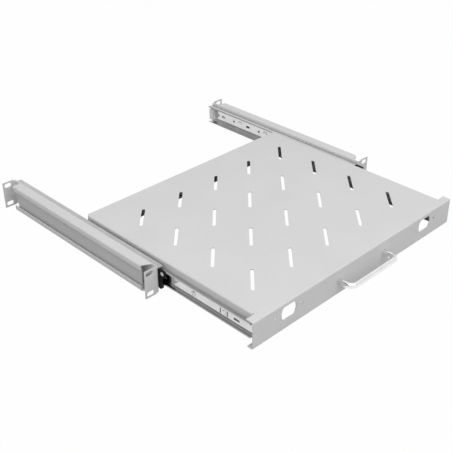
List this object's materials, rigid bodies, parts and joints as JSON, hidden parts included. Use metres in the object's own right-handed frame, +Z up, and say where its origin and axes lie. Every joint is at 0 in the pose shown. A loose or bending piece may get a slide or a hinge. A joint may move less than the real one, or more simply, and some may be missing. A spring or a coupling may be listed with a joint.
{
  "type": "sliding rack shelf",
  "caption": "Pull-out rack shelf: a folded steel deck with slanted vent slots, front panel and bar handle on ball slides between depth-adjustable rails with slotted ears.",
  "frame": {"origin": "centre of the four front rack holes, in the seating plane of the front ears' rear faces", "axes": "+X to the right seen from the front, +Y rearwards into the rack along the slides, +Z up"},
  "size_m": [0.4826, 0.552, 0.044],
  "materials": {
    "grey_paint": "light grey powder coat, fine texture, semi-matt",
    "zinc_steel": "bright zinc plate, smooth, roll-formed",
    "cage_steel": "plain bright steel strip",
    "ball_steel": "polished bearing steel, lightly greased",
    "fastener_steel": "zinc-plated fasteners",
    "black_plastic": "black moulded plastic, matt",
    "white_plastic": "natural white moulded plastic, soft",
    "chrome": "bright chrome plate"
  },
  "bodies": {
    "frame": {"front_bracket_left": "grey_paint", "front_bracket_right": "grey_paint", "cover_strip_left": "grey_paint", "cover_strip_right": "grey_paint", "slide_outer_left": "zinc_steel", "slide_outer_right": "zinc_steel", "rear_bumper_left": "white_plastic", "rear_bumper_right": "white_plastic", "front_guide_left": "black_plastic", "front_guide_right": "black_plastic", "guide_pin_left": "fastener_steel", "guide_pin_right": "fastener_steel", "slide_rivets_left": "fastener_steel", "slide_rivets_right": "fastener_steel", "clamp_studs_left": "fastener_steel", "clamp_studs_right": "fastener_steel", "clamp_nuts_left": "fastener_steel", "clamp_nuts_right": "fastener_steel"},
    "shelf": {"tray": "grey_paint", "handle": "chrome", "handle_screws": "fastener_steel", "slide_inner_left": "zinc_steel", "slide_inner_right": "zinc_steel", "slide_screws_left": "fastener_steel", "slide_screws_right": "fastener_steel"},
    "cage_left": {"ball_cage_left": "cage_steel", "balls_left": "ball_steel"},
    "cage_right": {"ball_cage_right": "cage_steel", "balls_right": "ball_steel"},
    "rear_left": {"rear_bracket_left": "grey_paint"},
    "rear_right": {"rear_bracket_right": "grey_paint"}
  },
  "joints": [
    {"name": "shelf_slide", "type": "slide", "parent": "frame", "child": "shelf", "axis": [0, -1, 0], "range_m": [-0.16, 0.095]},
    {"name": "cage_left_roll", "type": "slide", "parent": "frame", "child": "cage_left", "axis": [0, -1, 0], "range_m": [-0.08, 0.0475]},
    {"name": "cage_right_roll", "type": "slide", "parent": "frame", "child": "cage_right", "axis": [0, -1, 0], "range_m": [-0.08, 0.0475]},
    {"name": "rear_left_reach", "type": "slide", "parent": "frame", "child": "rear_left", "axis": [0, 1, 0], "range_m": [0, 0.22]},
    {"name": "rear_right_reach", "type": "slide", "parent": "frame", "child": "rear_right", "axis": [0, 1, 0], "range_m": [0, 0.22]}
  ],
  "couplings": [
    {"joint": "cage_left_roll", "follows": "shelf_slide", "ratio": 0.5},
    {"joint": "cage_right_roll", "follows": "shelf_slide", "ratio": 0.5}
  ]
}
